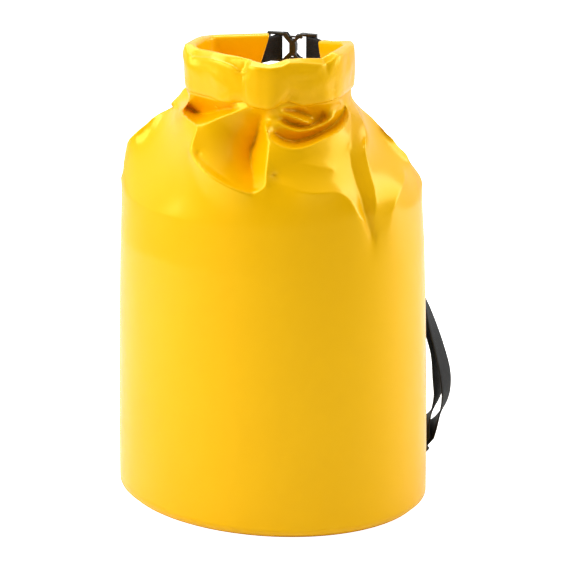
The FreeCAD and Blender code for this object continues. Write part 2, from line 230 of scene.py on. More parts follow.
def tarpaulin(name, light, deep, roughness):
    """Coated tarpaulin: faint woven scrim under the coating, orange-peel gloss, slight scuffs."""
    n = Nodes(name)
    cloudy = n.noise(7.0, 4.0)
    colour = n.mix(n.ramp(cloudy, 0.35, 0.7), light, deep)
    scuffs = n.noise(55.0, 5.0, (1, 1, 0.3))
    colour = n.mix(n.ramp(scuffs, 0.45, 0.9, 0.0, 0.12), colour, (0.95, 0.56, 0.01, 1))
    where = n.add("TexCoord").outputs["Object"]
    threads = []
    for axis in ("X", "Z"):
        wave = n.add("TexWave", {"wave_type": "BANDS", "bands_direction": axis,
                                 "wave_profile": "SIN"}, Vector=where, Scale=320.0, Distortion=0.4)
        threads.append(wave.outputs["Fac"])
    scrim = n.math("MULTIPLY", threads[0], threads[1])
    peel = n.noise(420.0, 2.0)
    slack = n.noise(16.0, 2.0, (1, 1, 0.7))
    normal = n.bump(slack, 0.0008)
    normal = n.bump(peel, 0.000012, 1.0, normal)
    normal = n.bump(scrim, 0.000008, 1.0, normal)
    gloss = n.ramp(n.noise(30.0, 4.0), 0.3, 0.75, roughness - 0.05, roughness + 0.04)
    n.shader.inputs["Specular Tint"].default_value = (1.0, 0.85, 0.12, 1)
    n.shader.inputs["Specular IOR Level"].default_value = 0.95
    return n.finish(Base_Color=colour, Roughness=gloss, Normal=normal)


RIB_PITCH = 0.0016          # metres along the webbing
YARN_PITCH = 0.0021         # metres across it


def webbing_material(name):
    """Black polypropylene webbing: cross ribs, lengthwise yarns with painted shade in their grooves, and
    duller worn edges. U is across.
    """
    n = Nodes(name)
    split = n.add("SeparateXYZ", Vector=n.add("TexCoord").outputs["UV"])
    across, along = split.outputs[0], split.outputs[1]
    rib = n.math("SINE", n.math("MULTIPLY", along, 2 * math.pi / RIB_PITCH))
    yarn = n.math("SINE", n.math("MULTIPLY", across, 2 * math.pi / YARN_PITCH))
    weave = n.math("ADD", rib, n.math("MULTIPLY", yarn, 0.45))
    height = n.ramp(weave, -1.45, 1.45)
    fuzz = n.noise(900.0, 3.0)
    # Painted shade: the weave's grooves are coloured darker and the rib tops lighter, by the same height as
    # the bump.
    colour = n.mix(height, (0.002, 0.002, 0.002, 1), (0.010, 0.010, 0.010, 1))
    edge = n.math("ABSOLUTE", across)
    worn = n.math("MULTIPLY", n.ramp(edge, 0.0105, 0.0124), n.ramp(fuzz, 0.4, 0.65))
    colour = n.mix(worn, colour, (0.026, 0.026, 0.026, 1))
    normal = n.bump(height, 0.00035)
    normal = n.bump(fuzz, 0.0001, 1.0, normal)
    n.shader.inputs["Specular IOR Level"].default_value = 0.25
    return n.finish(Base_Color=colour, Roughness=n.ramp(fuzz, 0.3, 0.7, 0.5, 0.75), Normal=normal)


def plastic_material(name):
    """Moulded acetal: near black, fine spark-eroded grain, slightly shinier worn patches."""
    n = Nodes(name)
    grain = n.noise(2600.0, 2.0)
    patch = n.noise(120.0, 4.0)
    colour = n.mix(n.ramp(patch, 0.35, 0.7), (0.008, 0.010, 0.009, 1), (0.016, 0.019, 0.018, 1))
    normal = n.bump(grain, 0.00003)
    return n.finish(Base_Color=colour, Roughness=n.ramp(patch, 0.3, 0.7, 0.26, 0.4), Normal=normal)


def ring_material(name):
    """Black lacquered steel wire, chipped to bare metal in a few small spots."""
    n = Nodes(name)
    chips = n.ramp(n.noise(260.0, 5.0), 0.66, 0.70)
    colour = n.mix(chips, (0.012, 0.012, 0.013, 1), (0.32, 0.31, 0.30, 1))
    normal = n.bump(n.noise(700.0, 2.0), 0.00004)
    return n.finish(Base_Color=colour, Metallic=chips, Roughness=n.ramp(chips, 0, 1, 0.3, 0.42),
                    Normal=normal)


def thread_material(name):
    """Bonded sewing thread with its twist."""
    n = Nodes(name)
    twist = n.noise(1800.0, 2.0, (1, 1, 2))
    colour = n.mix(twist, (0.012, 0.012, 0.013, 1), (0.05, 0.05, 0.052, 1))
    return n.finish(Base_Color=colour, Roughness=0.6, Normal=n.bump(twist, 0.0001))


def strip_material(name):
    """Off-white plastic stiffener strip."""
    n = Nodes(name)
    streak = n.noise(90.0, 3.0, (0.2, 0.2, 1))
    colour = n.mix(streak, (0.62, 0.61, 0.56, 1), (0.78, 0.77, 0.72, 1))
    return n.finish(Base_Color=colour, Roughness=0.45, Normal=n.bump(streak, 0.00005))


FABRIC = tarpaulin("coated_fabric", (0.93, 0.49, 0.0, 1), (0.91, 0.47, 0.0, 1), 0.23)
PATCH_FABRIC = tarpaulin("patch_fabric", (0.89, 0.47, 0.0, 1), (0.87, 0.45, 0.0, 1), 0.33)
WEBBING = webbing_material("webbing")
PLASTIC = plastic_material("buckle_plastic")
RING_METAL = ring_material("ring_metal")
THREAD = thread_material("thread")
STRIP = strip_material("stiffener")


def place(piece, body, slot, material, *nodes):
    """Gives a finished piece its material and its body, and hides the CAD nodes it stands for; slot is not
    used.
    """
    piece.data.materials.clear()
    piece.data.materials.append(material)
    if body:
        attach(piece, body)
    if nodes:
        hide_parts(*nodes)
    return piece


# ---------------------------------------------------------------- camera, floor and light

AIM = Vector((0.0124, 0.0033, 0.2272))
CAMERA_AZIMUTH = math.radians(15.0)
CAMERA_ELEVATION = math.radians(20.5)
CAMERA_DISTANCE = 2.2
CAMERA_LENS = 135.4         # millimetres, on a sensor as wide as full-frame film
FLOOR_HALF = 6000.0
SURROUND_LIGHT = 0.46       # brightness of the white surround, as light on the bag
SURROUND_SIDES = 0.85       # as the bag mirrors it at its sides and back
SURROUND_FRONT = 0.05       # and as the bag mirrors it towards the camera
SURROUND_SEEN = 1.0         # as the camera sees it
# Softboxes: turn from the camera and elevation in degrees, distance, width and height in metres, power
SOFTBOXES = {"softbox_left": (-72, 34, 1.6, (0.8, 1.3), 19),
             "softbox_right": (96, 26, 1.6, (1.0, 1.5), 17),
             "softbox_top": (-150, 62, 1.7, (1.6, 0.9), 16)}


def direction(azimuth, elevation):
    """Unit vector from the bag towards a place seen at these angles; azimuth 0 is the front."""
    flat = math.cos(elevation)
    return Vector((math.sin(azimuth) * flat, -math.cos(azimuth) * flat, math.sin(elevation)))


def make_camera():
    camera = bpy.data.cameras.new("camera")
    camera.lens = CAMERA_LENS
    camera.sensor_width = 36.0
    holder = bpy.data.objects.new("camera", camera)
    back = direction(CAMERA_AZIMUTH, CAMERA_ELEVATION)
    holder.location = AIM + back * CAMERA_DISTANCE
    holder.rotation_mode = "QUATERNION"
    holder.rotation_quaternion = (-back).to_track_quat("-Z", "Y")
    bpy.context.scene.collection.objects.link(holder)
    bpy.context.scene.camera = holder


def area_light(name, turn, elevation, distance, size, power):
    """Softbox that faces the bag; turn is measured from the camera, positive to its right."""
    light = bpy.data.lights.new(name, "AREA")
    light.shape = "RECTANGLE"
    light.size, light.size_y = size
    light.energy = power
    holder = bpy.data.objects.new(name, light)
    towards = direction(CAMERA_AZIMUTH + math.radians(turn), math.radians(elevation))
    holder.location = AIM + towards * distance
    holder.rotation_mode = "QUATERNION"
    holder.rotation_quaternion = (-towards).to_track_quat("-Z", "Y")
    bpy.context.scene.collection.objects.link(holder)


def make_studio():
    bpy.context.scene.view_settings.view_transform = "Standard"
    corners = [(x * FLOOR_HALF, y * FLOOR_HALF, 0) for x, y in ((-1, -1), (1, -1), (1, 1), (-1, 1))]
    floor = mesh_object("floor", corners, [(0, 1, 2, 3)], smooth=False)
    n = Nodes("floor_paper")
    tone = n.mix(n.noise(3.0, 2.0), (0.93, 0.93, 0.93, 1), (0.95, 0.95, 0.95, 1))
    seen_directly = n.add("LightPath").outputs["Is Camera Ray"]
    floor.data.materials.append(n.finish(Base_Color=tone, Roughness=0.6, Emission_Color=(1, 1, 1, 1),
                                         Emission_Strength=seen_directly))
    world = bpy.data.worlds.new("studio")
    world.use_nodes = True
    tree = world.node_tree
    background = tree.nodes["Background"]
    towards = tree.nodes.new("ShaderNodeVectorMath")
    towards.operation = "DOT_PRODUCT"
    towards.inputs[1].default_value = direction(CAMERA_AZIMUTH, math.radians(10))
    dark_side = tree.nodes.new("ShaderNodeMapRange")
    for key, value in (("From Min", 0.45), ("From Max", 0.9),
                       ("To Min", SURROUND_SIDES), ("To Max", SURROUND_FRONT)):
        dark_side.inputs[key].default_value = value
    mirrored = tree.nodes.new("ShaderNodeMix")
    mirrored.inputs[2].default_value = SURROUND_LIGHT
    seen = tree.nodes.new("ShaderNodeMix")
    seen.inputs[3].default_value = SURROUND_SEEN
    rays = tree.nodes.new("ShaderNodeLightPath")
    tree.links.new(tree.nodes.new("ShaderNodeTexCoord").outputs["Generated"], towards.inputs[0])
    tree.links.new(towards.outputs["Value"], dark_side.inputs["Value"])
    tree.links.new(rays.outputs["Is Camera Ray"], seen.inputs[0])
    tree.links.new(rays.outputs["Is Glossy Ray"], mirrored.inputs[0])
    tree.links.new(dark_side.outputs[0], mirrored.inputs[3])
    tree.links.new(mirrored.outputs[0], seen.inputs[2])
    tree.links.new(seen.outputs[0], background.inputs["Strength"])
    background.inputs["Color"].default_value = (1.0, 1.0, 1.0, 1)
    bpy.context.scene.world = world
    for name, settings in SOFTBOXES.items():
        area_light(name, *settings)


# ---------------------------------------------------------------- bag body

# Middle line of the roll seen from above, from its left end round the front to its right end
ROLL_PLAN = [(-24, 58), (-70, 36), (-76, 28), (-77, -22), (-70, -34), (-34, -54), (8, -67), (20, -66),
             (42, -50), (62, -38), (71, -24), (73, 22), (66, 42), (38, 64)]
PLAN_CORNER = 4            # samples over which a corner of that line is rounded
PLAN_SAMPLES = 400
PLAN_LINE = round_corners(resample(np.array(ROLL_PLAN, float), PLAN_SAMPLES), PLAN_CORNER)
PLAN_ALONG = unit(np.gradient(PLAN_LINE, axis=0))
PLAN_LENGTH = float(np.linalg.norm(np.diff(PLAN_LINE, axis=0), axis=1).sum())


def plan_frame(across):
    """Point and outward normal of the roll's middle line; across is -1 at its left end, 1 at its right."""
    place_index = (np.clip(across, -1, 1) + 1) / 2 * (len(PLAN_LINE) - 1)
    index = np.arange(len(PLAN_LINE))
    x, y, tx, ty = (np.interp(place_index, index, column)
                    for column in (*PLAN_LINE.T, *PLAN_ALONG.T))
    return x, y, ty, -tx


def ring_frame(along, bend):
    """Point and outward normal on a line that bends from straight to the CAD neck's ring."""
    curvature = np.maximum(bend, 1e-6) / RING_RADIUS
    turn = along * curvature
    x = np.sin(turn) / curvature
    y = RING_FLATTEN * (1 - np.cos(turn)) / curvature
    nx = RING_FLATTEN * np.sin(turn)
    ny = -np.cos(turn)
    size = np.hypot(nx, ny)
    return x, y, nx / size, ny / size


def fullness(rise):
    """Width of the filled bag at a height, against its width at the base."""
    return 1 - UPPER_TAPER * np.clip(1 + rise, 0, 1) ** 1.5


def closing_at(rise):
    """How far the bag has closed in from its oval to the neck's flat band."""
    rise = np.clip(rise, 0, 1)
    return 0.5 * smooth_step(rise) + 0.5 * rise ** CLOSING_POWER


def base_surface(turn, rise):
    """Undisturbed bag. turn: -1 to 1 across the front, 1 to 3 across the back. rise: -1 base to 1 neck."""
    back = turn > 1
    across = np.where(back, 2 - turn, turn)
    closing = closing_at(rise)
    bend = closing + WAIST * np.sin(np.pi * np.clip((closing - BEND_FROM) / (1 - BEND_FROM), 0, 1))
    half_width = HALF_WIDTH * fullness(rise)
    half_depth = HALF_DEPTH * np.where(back, 1.0, fullness(rise))
    tip = half_width + closing * (RING_HALF_LENGTH - half_width) - NECK_TUCK * np.sin(np.pi * closing)
    lean = np.cos(across * np.pi / 2)
    flat = NECK_HALF * (1 - TUCK_THINNING * np.clip((rise - 1) * (NECK_Z - SHOULDER_Z) / TUCK_HEIGHT, 0, 1))
    thick = (1 - closing) * half_depth * lean + closing * flat * (1 - across ** 8)
    wide = (1 - closing) * np.sin(across * np.pi / 2) + closing * across
    x, y, nx, ny = ring_frame(tip * wide, bend)
    neck_x, neck_y, _, _ = plan_frame(across)
    ring_x, ring_y, _, _ = ring_frame(RING_HALF_LENGTH * across, np.ones_like(across))
    follow = closing ** 3
    side = np.where(back, -thick, thick)
    z = np.where(rise < 0, SHOULDER_Z * (1 + rise), SHOULDER_Z + (NECK_Z - SHOULDER_Z) * rise)
    return np.stack([x + nx * side + follow * (neck_x - ring_x),
                     RING_FRONT_Y * closing + y + ny * side + follow * (neck_y - ring_y - RING_FRONT_Y),
                     z], -1)


# Folds of the shoulder. Each line has the way it is moved, then its points: turn, rise, and how far
# it stands out that way from the undisturbed bag, in millimetres. The front's places are not hand-placed:
# a scratch program worked them out from places read off the photo, which report.md names as a fault.
FOLDS = {
    "left_rim": ("left", [(-0.62, 0.97, 5), (-0.66, 0.88, 16), (-0.67, 0.80, 14), (-0.66, 0.73, 9)]),
    "left_outline": ("left", [(-0.76, 0.67, 6), (-0.79, 0.60, 10), (-0.79, 0.54, 16), (-0.82, 0.47, 20),
                              (-0.86, 0.40, 21), (-0.90, 0.32, 17), (-0.91, 0.24, 11), (-0.91, 0.17, 6),
                              (-0.90, 0.08, 1), (-0.88, 0.0, 1)]),
    "left_side": ("left", [(2.72, 0.90, 8), (2.78, 0.60, 10), (2.80, 0.45, 16), (2.84, 0.30, 12),
                           (2.86, 0.12, 3)]),
    "right_outline": ("right", [(0.72, 0.93, 0), (0.78, 0.84, -1), (0.85, 0.76, -3), (0.93, 0.70, -4),
                                (0.98, 0.65, -5), (0.98, 0.60, -1), (0.99, 0.54, 6), (1.0, 0.47, 9),
                                (1.0, 0.40, 12), (1.02, 0.33, 10), (1.08, 0.25, 7), (1.14, 0.17, 4),
                                (1.16, 0.10, 2), (1.14, 0.04, 0)]),
    "right_side": ("right", [(1.22, 0.92, 0), (1.22, 0.62, 2), (1.20, 0.45, 8), (1.18, 0.34, 8)]),
    "left_lip": ("front", [(-0.70, 0.72, 2), (-0.55, 0.77, 4), (-0.42, 0.80, 7), (-0.31, 0.783, 9),
                           (-0.242, 0.763, 11), (-0.198, 0.79, 9), (-0.13, 0.863, 5), (-0.054, 0.937, 2),
                           (0.006, 0.985, 0)]),
    "left_hollow": ("front", [(-0.36, 0.86, -26), (-0.28, 0.85, -38), (-0.21, 0.87, -34),
                              (-0.142, 0.93, -20), (-0.08, 0.96, -12)]),
    "left_hollow_side": ("inward", [(-0.60, 0.93, 4), (-0.54, 0.90, 8), (-0.45, 0.87, 12)]),
    "left_shoulder_edge": ("front", [(-0.242, 0.763, 12), (-0.24, 0.707, 11), (-0.26, 0.637, 10),
                                     (-0.274, 0.563, 9)]),
    "left_ridge": ("front", [(-0.274, 0.563, 9), (-0.252, 0.517, 11), (-0.172, 0.413, 12),
                             (-0.072, 0.327, 10), (-0.002, 0.28, 6), (0.048, 0.257, 2)]),
    "fold_groove": ("front", [(-0.222, 0.545, 4), (-0.155, 0.475, 3), (-0.085, 0.40, 1),
                              (-0.002, 0.315, 0)]),
    "left_valley": ("front", [(0.062, 0.91, -16), (0.040, 0.733, -34), (0.026, 0.627, -37),
                              (0.034, 0.49, -30), (0.046, 0.40, -20), (0.054, 0.307, -7)]),
    "centre_ridge": ("front", [(0.08, 0.857, 4), (0.086, 0.773, 7), (0.10, 0.593, 8), (0.102, 0.373, 5),
                               (0.086, 0.313, 3), (0.048, 0.257, 1)]),
    "right_lip": ("front", [(0.08, 0.857, 4), (0.098, 0.74, 8), (0.15, 0.68, 9), (0.212, 0.65, 10),
                            (0.26, 0.663, 9), (0.328, 0.713, 7), (0.41, 0.76, 5), (0.472, 0.807, 3),
                            (0.56, 0.867, 1), (0.66, 0.927, 0)]),
    "right_hollow": ("front", [(0.118, 0.777, -10), (0.156, 0.733, -18), (0.208, 0.706, -25),
                               (0.272, 0.735, -26), (0.338, 0.775, -23), (0.418, 0.83, -18),
                               (0.512, 0.907, -8)]),
    "second_lip": ("front", [(0.138, 0.873, -2), (0.18, 0.813, -2), (0.226, 0.787, -2), (0.29, 0.805, -3),
                             (0.376, 0.85, -5), (0.412, 0.893, -6), (0.476, 0.96, -7)]),
    "second_hollow": ("front", [(0.166, 0.892, -14), (0.205, 0.842, -19), (0.262, 0.822, -21),
                                (0.315, 0.85, -21), (0.356, 0.90, -18)]),
    "small_fold": ("front", [(0.158, 0.963, -1), (0.19, 0.937, 0), (0.22, 0.90, 0), (0.268, 0.842, -3)]),
    "small_fold_back": ("front", [(0.19, 0.985, -8), (0.245, 0.955, -16), (0.285, 0.90, -16)]),
    "bulge": ("front", [(0.134, 0.43, 0), (0.19, 0.35, 3), (0.26, 0.28, 6), (0.342, 0.27, 7),
                        (0.41, 0.26, 6), (0.462, 0.18, 4), (0.51, 0.013, 2), (0.56, -0.065, -1)]),
    "bulge_top": ("front", [(0.24, 0.545, 5), (0.32, 0.50, 5), (0.40, 0.46, 3)]),
    "wedge_left": ("front", [(0.56, 0.88, -1), (0.464, 0.737, -3), (0.502, 0.557, -4),
                             (0.505, 0.317, -5), (0.535, 0.05, -6), (0.568, -0.053, -4)]),
    "wedge_crest": ("front", [(0.66, 0.853, 3), (0.60, 0.717, 6), (0.62, 0.487, 6),
                              (0.60, 0.293, 4), (0.592, 0.05, 0), (0.585, -0.065, -2)]),
    "wedge_right": ("front", [(0.916, 0.267, 3), (0.75, 0.14, 3), (0.68, -0.03, 2), (0.602, -0.065, 0)]),
    "back_left_fold": ("back", [(2.42, 0.96, 1), (2.34, 0.72, 4), (2.22, 0.48, 5), (2.12, 0.25, 2),
                                (2.06, 0.12, 0)]),
    "back_left_hollow": ("back", [(2.26, 0.95, -14), (2.20, 0.78, -17), (2.13, 0.55, -11),
                                  (2.07, 0.32, -3), (2.05, 0.18, 0)]),
    "back_right_hollow": ("back", [(1.86, 0.95, -14), (1.88, 0.74, -17), (1.84, 0.52, -9),
                                   (1.80, 0.34, -3), (1.78, 0.20, 0)]),
    "back_right_lip": ("back", [(1.96, 0.80, 2), (1.88, 0.60, 8), (1.74, 0.55, 8), (1.60, 0.68, 5),
                                (1.46, 0.90, 2)]),
    "back_right_crease": ("back", [(1.40, 0.92, 0), (1.42, 0.60, -7), (1.45, 0.28, -7), (1.46, 0.0, -2)]),
    "back_right_crest": ("back", [(1.30, 0.90, 2), (1.34, 0.60, 4), (1.40, 0.24, 4), (1.45, 0.0, 0)]),
}
WAYS = {"inward": Vector((0.75, 0.6, -0.28)), "front": direction(CAMERA_AZIMUTH, math.radians(16)),
        "left": Vector((-0.97, -0.26, 0)), "right": Vector((0.97, 0.26, 0)),
        "back": Vector((0, 0.94, 0.34))}
FOLD_FOOT = -0.16           # the folds die out at this rise on the wall
FOLD_STEPS = 60             # samples between two points of a fold
TAUTNESS = 0.85             # 0 keeps the bag's roundness between the folds, 1 stretches it flat
TAUT_FADE = 0.4             # rise over which the tautness sets in
STRIDES = (8, 4, 2, 1)      # grid steps of the stretching, coarse first
SWEEPS = 300                # averaging passes on each of them
SOFTNESS = 0.6              # share by which creases are rounded afterwards
SOFT_FROM = 3               # lowest row that is rounded
GIRTH = 0.93                # metres round the bag, for the fabric's UV


def turns_and_rises():
    front = np.linspace(-1, 1, FRONT_COLUMNS, endpoint=False)
    back = np.linspace(1, 3, BACK_COLUMNS, endpoint=False)
    wall = -1 + np.linspace(0, 1, WALL_ROWS, endpoint=False) ** 0.9
    shoulder = np.linspace(0, 1, SHOULDER_ROWS, endpoint=False)
    tuck = 1 + np.linspace(0, TUCK_HEIGHT / (NECK_Z - SHOULDER_Z), TUCK_ROWS)
    return np.concatenate([front, back]), np.concatenate([wall, shoulder, tuck])


def surface_normals(points):
    """Outward normals of a closed grid of points."""
    around = np.roll(points, -1, 1) - np.roll(points, 1, 1)
    upwards = np.gradient(points, axis=0)
    return unit(np.cross(around, upwards))


def beside(values):
    """Mean of each point's four neighbours on a grid that is closed sideways."""
    level = values.copy()
    sides = np.roll(values, 1, 1) + np.roll(values, -1, 1)
    level[1:-1] = (values[:-2] + values[2:] + sides[1:-1]) / 4
    return level


def fold_pins(turns, rises):
    """Row, column and displacement of every pinned place on the folds."""
    column_index = np.arange(len(turns) + 1)
    turn_edges = np.append(turns, 3.0)
    pins = []
    for way, line in FOLDS.values():
        for turn, rise, out in catmull(line, FOLD_STEPS):
            pins.append((np.interp(rise, rises, np.arange(len(rises))),
                         np.interp(turn, turn_edges, column_index), *(WAYS[way] * out)))
    return np.array(pins)


def stretch_between_folds(base, turns, rises):
    """The bag's surface pulled taut between its folds, coarse grid first."""
    pins = fold_pins(turns, rises)
    foot = int(np.interp(FOLD_FOOT, rises, np.arange(len(rises))))
    last = len(rises) - TUCK_ROWS
    part = base[foot:last + 1]
    slack = 1 - TAUTNESS * smooth_step((rises[foot:last + 1] - FOLD_FOOT) / TAUT_FADE)[:, None, None]
    moved = None
    for stride in STRIDES:
        rows = np.unique(np.append(np.arange(0, len(part), stride), len(part) - 1))
        rest = part[rows][:, ::stride]
        held = beside(rest) - rest
        level_slack = slack[rows]
        if moved is None:
            shift = np.zeros_like(rest)
        else:
            wide = np.repeat(moved, 2, 1)
            wide[:, 1::2] = (moved + np.roll(moved, -1, 1)) / 2
            shift = np.stack([[np.interp(rows, coarse_rows, wide[:, k, axis]) for axis in range(3)]
                              for k in range(wide.shape[1])]).transpose(2, 0, 1)
        row = np.clip(np.searchsorted(rows, pins[:, 0] - foot - stride / 2), 0, len(rows) - 1)
        column = np.rint(pins[:, 1] / stride).astype(int) % rest.shape[1]
        total = np.zeros_like(rest)
        count = np.zeros(rest.shape[:2] + (1,))
        np.add.at(total, (row, column), pins[:, 2:])
        np.add.at(count, (row, column), 1)
        pinned = count > 0
        shift = np.where(pinned, total / np.maximum(count, 1), shift)
        pinned[0] = pinned[-1] = True
        shift[0] = shift[-1] = 0
        points = rest + shift
        for _ in range(SWEEPS):
            points = np.where(pinned, points, beside(points) - level_slack * held)
        moved = points - rest
        coarse_rows = rows
    out = base.copy()
    out[foot:last + 1] += moved
    return out


def soften(points):
    """Rounds creases a little, without moving the bottom rows or the neck's edge."""
    level = beside(points)
    level[:SOFT_FROM] = points[:SOFT_FROM]
    return points + SOFTNESS * (level - points)


def make_body():
    turns, rises = turns_and_rises()
    turn, rise = np.meshgrid(turns, rises)
    points = base_surface(turn, rise)
    normals = surface_normals(points)
    points = stretch_between_folds(points, turns, rises)
    points = soften(points)
    # turned-under bottom edge
    low = np.clip(1 - points[..., 2] / BOTTOM_ROUND, 0, 1)[..., None]
    inward = -unit(normals * np.array([1, 1, 0]))
    points = points + inward * BOTTOM_ROUND * (1 - np.sqrt(1 - low ** 2))
    rows, columns = turn.shape
    around = np.tile(np.linspace(0, GIRTH, columns), (rows, 1))
    uvs = np.stack([around, points[..., 2] * MM], -1).reshape(-1, 2)
    body = mesh_object("bag_body", points.reshape(-1, 3), grid_faces(rows, columns, True), uvs)
    return place(body, "bag", "coated_fabric", FABRIC, "body_wall")


# ---------------------------------------------------------------- rolled mouth

ROLL_TURNS = 2.7
POINTS_PER_TURN = 44
ROLL_STATIONS = 300
ROLL_HALF = 6.6             # half thickness and half height of the outermost turn
ROLL_TALL = 22.6
LAYER_STEP = 1.85           # room each turn takes in thickness
LAYER_DROP = 1.3            # room it takes in height, against that in thickness
SQUARENESS = 0.6            # 1 gives a turn half-round edges, 0 square ones
SHEET = 0.9                 # drawn thickness of the coated fabric
LAP_PLACE = 0.505           # share of the roll's length where its two edges are lapped
LAP_STEP = 0.8              # how far the outer of the two edges stands out
END_SLANT = 0.32            # the roll's ends lean inwards towards the bottom
END_SHARE = 0.12            # share of the length over which they lean
STRIP_WIDTH = 28.0          # stiffener inside the roll
STRIP_THICK = 0.8
STRIP_END = 0.05            # share of the roll's length left free at each end of it
# Waviness of the roll: share of the length, lift of the top, lift of the bottom, drop of the outer top edge
ROLL_EDGES = [(0.0, -5, -1, 0), (0.14, -4, 0, 0), (0.20, 0, 0, 1), (0.29, 1, 2, 0), (0.33, 0, 1, 8),
              (0.39, 1, 1, 5), (0.43, 1, -1, 6), (0.46, 1, 0, 9), (0.49, 0, 3, 14), (0.512, -1, 0, 3),
              (0.555, -3, -2, 2), (0.585, -1, 3, 3), (0.605, 1, 5, 2), (0.64, 1, -1, 3), (0.70, -1, 1, 5),
              (0.735, 3, 2, 2), (0.84, 0, 1, 0), (0.90, -2, 1, 0), (0.95, -6, 0, 2), (1.0, -10, -1, 0)]
# Facets pressed into the outer face, each a low pyramid: share, height (-1 bottom, 1 top), half length,
# half height, how far its tip stands out, and its slant
FACETS = [(0.325, 0.30, 32, 18, 3.4, -0.45), (0.42, -0.05, 36, 10, 2.4, -0.45),
          (0.455, -0.75, 18, 9, 2.4, 0.35), (0.492, 0.50, 12, 18, -3.8, 0.2),
          (0.545, 0.0, 16, 34, -1.6, 0.2), (0.60, -0.75, 16, 13, -3.2, 0.5),
          (0.64, 0.42, 32, 7, 2.6, 0.1), (0.66, -0.15, 28, 12, 2.2, 0.2),
          (0.72, -0.55, 17, 14, -2.8, -0.6), (0.70, 0.80, 10, 12, -3.8, 0.9),
          (0.25, 0.05, 26, 22, 2.0, 0.6), (0.12, 0.1, 28, 8, -1.8, 0.1),
          (0.80, 0.1, 22, 16, 2.0, 0.3), (0.92, 0.0, 24, 12, -2.2, -0.3)]


def roll_points():
    """Grid of points of the rolled sheet: one row per place along the roll, spiralling inwards."""
    share = np.linspace(0, 1, ROLL_STATIONS)
    lap = LAP_PLACE + np.array([-0.5, 0.5]) / PLAN_LENGTH
    share = np.sort(np.concatenate([share, lap]))
    angle = np.linspace(0, 2 * np.pi * ROLL_TURNS, int(POINTS_PER_TURN * ROLL_TURNS))
    share, angle = np.meshgrid(share, angle, indexing="ij")
    inner = angle / (2 * np.pi) * LAYER_STEP
    half = ROLL_HALF - inner
    tall = ROLL_TALL - inner * LAYER_DROP
    out = half * np.sign(np.sin(angle)) * np.abs(np.sin(angle)) ** SQUARENESS
    corner = half * np.sign(np.cos(angle)) * np.abs(np.cos(angle)) ** SQUARENESS
    up = (tall - half) * np.clip(-1.5 * np.cos(angle), -1, 1) - corner
    outermost = np.clip(1 - inner / LAYER_STEP, 0, 1)
    x, y, nx, ny = plan_frame(share * 2 - 1)
    level = up / ROLL_TALL
    edges = np.array(ROLL_EDGES).T
    top, bottom, drop = (np.interp(share, edges[0], column) for column in edges[1:])
    rise = (1 + level) / 2
    outer_side = smooth_step((out / ROLL_HALF + 0.6) / 1.2)
    up = up + top * rise + bottom * (1 - rise) - drop * outer_side * np.clip(level, 0, 1) ** 2
    for at, height, length, reach, depth, slant in FACETS:
        along = (share - at) * PLAN_LENGTH
        above = (level - height) * ROLL_TALL - slant * along
        near = np.clip(1 - np.abs(along) / length - np.abs(above) / reach, 0, 1)
        out = out + depth * near * outermost * outer_side
    out = out + LAP_STEP * (share > LAP_PLACE)
    end = np.clip(1 - np.minimum(share, 1 - share) / END_SHARE, 0, 1)
    slide = END_SLANT * up * end * np.where(share < 0.5, 1, -1)
    return np.stack([x + nx * out + ny * slide, y + ny * out - nx * slide, ROLL_MIDDLE_Z + up], -1)


def make_roll():
    points = roll_points()
    rows, columns = points.shape[:2]
    roll = mesh_object("rolled_mouth", points.reshape(-1, 3), grid_faces(rows, columns))
    add_modifier(roll, "SOLIDIFY", thickness=SHEET * MM, offset=-1.0)
    bake_modifiers(roll)
    place(roll, "bag", "coated_fabric", FABRIC, "closure_roll")
    strip = []
    for share in np.linspace(STRIP_END, 1 - STRIP_END, 120):
        x, y, nx, ny = (float(value) for value in plan_frame(np.array(share * 2 - 1)))
        strip.append((Vector((x, y, ROLL_MIDDLE_Z)), Vector((nx, ny, 0))))
    points, normals = zip(*strip)
    piece = ribbon("mouth_stiffener_strip", points, normals, STRIP_WIDTH, STRIP_THICK)
    place(piece, "bag", "stiffener", STRIP, "mouth_stiffener")


# ---------------------------------------------------------------- webbing

EDGE_INSET = 0.12           # rounding of a ribbon's edges: in from the edge, against its thickness
EDGE_HALF = 0.26            # and the half thickness there


def ribbon(name, points, normals, width, thick, crown=0.0):
    """Flat band with rounded edges; its UV is in metres, across and along."""
    points = np.array([list(p) for p in points], float)
    normals = unit(np.array([list(n) for n in normals], float))
    along = unit(np.gradient(points, axis=0))
    across = unit(np.cross(along, normals))
    out = unit(np.cross(across, along))
    spread = np.linspace(-1, 1, 9)
    edge = width / 2 - thick / 2
    section = [(edge * t, thick / 2 - crown * t * t) for t in spread]
    rounding = width / 2 - thick * EDGE_INSET
    section += [(rounding, thick * EDGE_HALF - crown), (width / 2, -crown),
                (rounding, -thick * EDGE_HALF - crown)]
    section += [(edge * t, -thick / 2 - crown * t * t) for t in -spread]
    section += [(-rounding, -thick * EDGE_HALF - crown), (-width / 2, -crown),
                (-rounding, thick * EDGE_HALF - crown)]
    section = np.array(section)
    run = np.concatenate([[0], np.cumsum(np.linalg.norm(np.diff(points, axis=0), axis=1))])
    grid = (points[:, None] + across[:, None] * section[None, :, :1] + out[:, None] * section[None, :, 1:])
    rows, columns = grid.shape[:2]
    uvs = np.stack([np.tile(section[:, 0], (rows, 1)) * MM, np.tile(run[:, None], (1, columns)) * MM], -1)
    faces = grid_faces(rows, columns, True).tolist()
    faces.append(list(range(columns))[::-1])
    faces.append([(rows - 1) * columns + k for k in range(columns)])
    return mesh_object(name, grid.reshape(-1, 3), faces, uvs.reshape(-1, 2))


def heading(degrees):
    angle = math.radians(degrees)
    return np.array([math.cos(angle), math.sin(angle), 0.0])


SPAN_STEPS = 14             # samples between two points of a strap's route
STRAP_SAMPLES = 150
RETURN_SAMPLES = 130
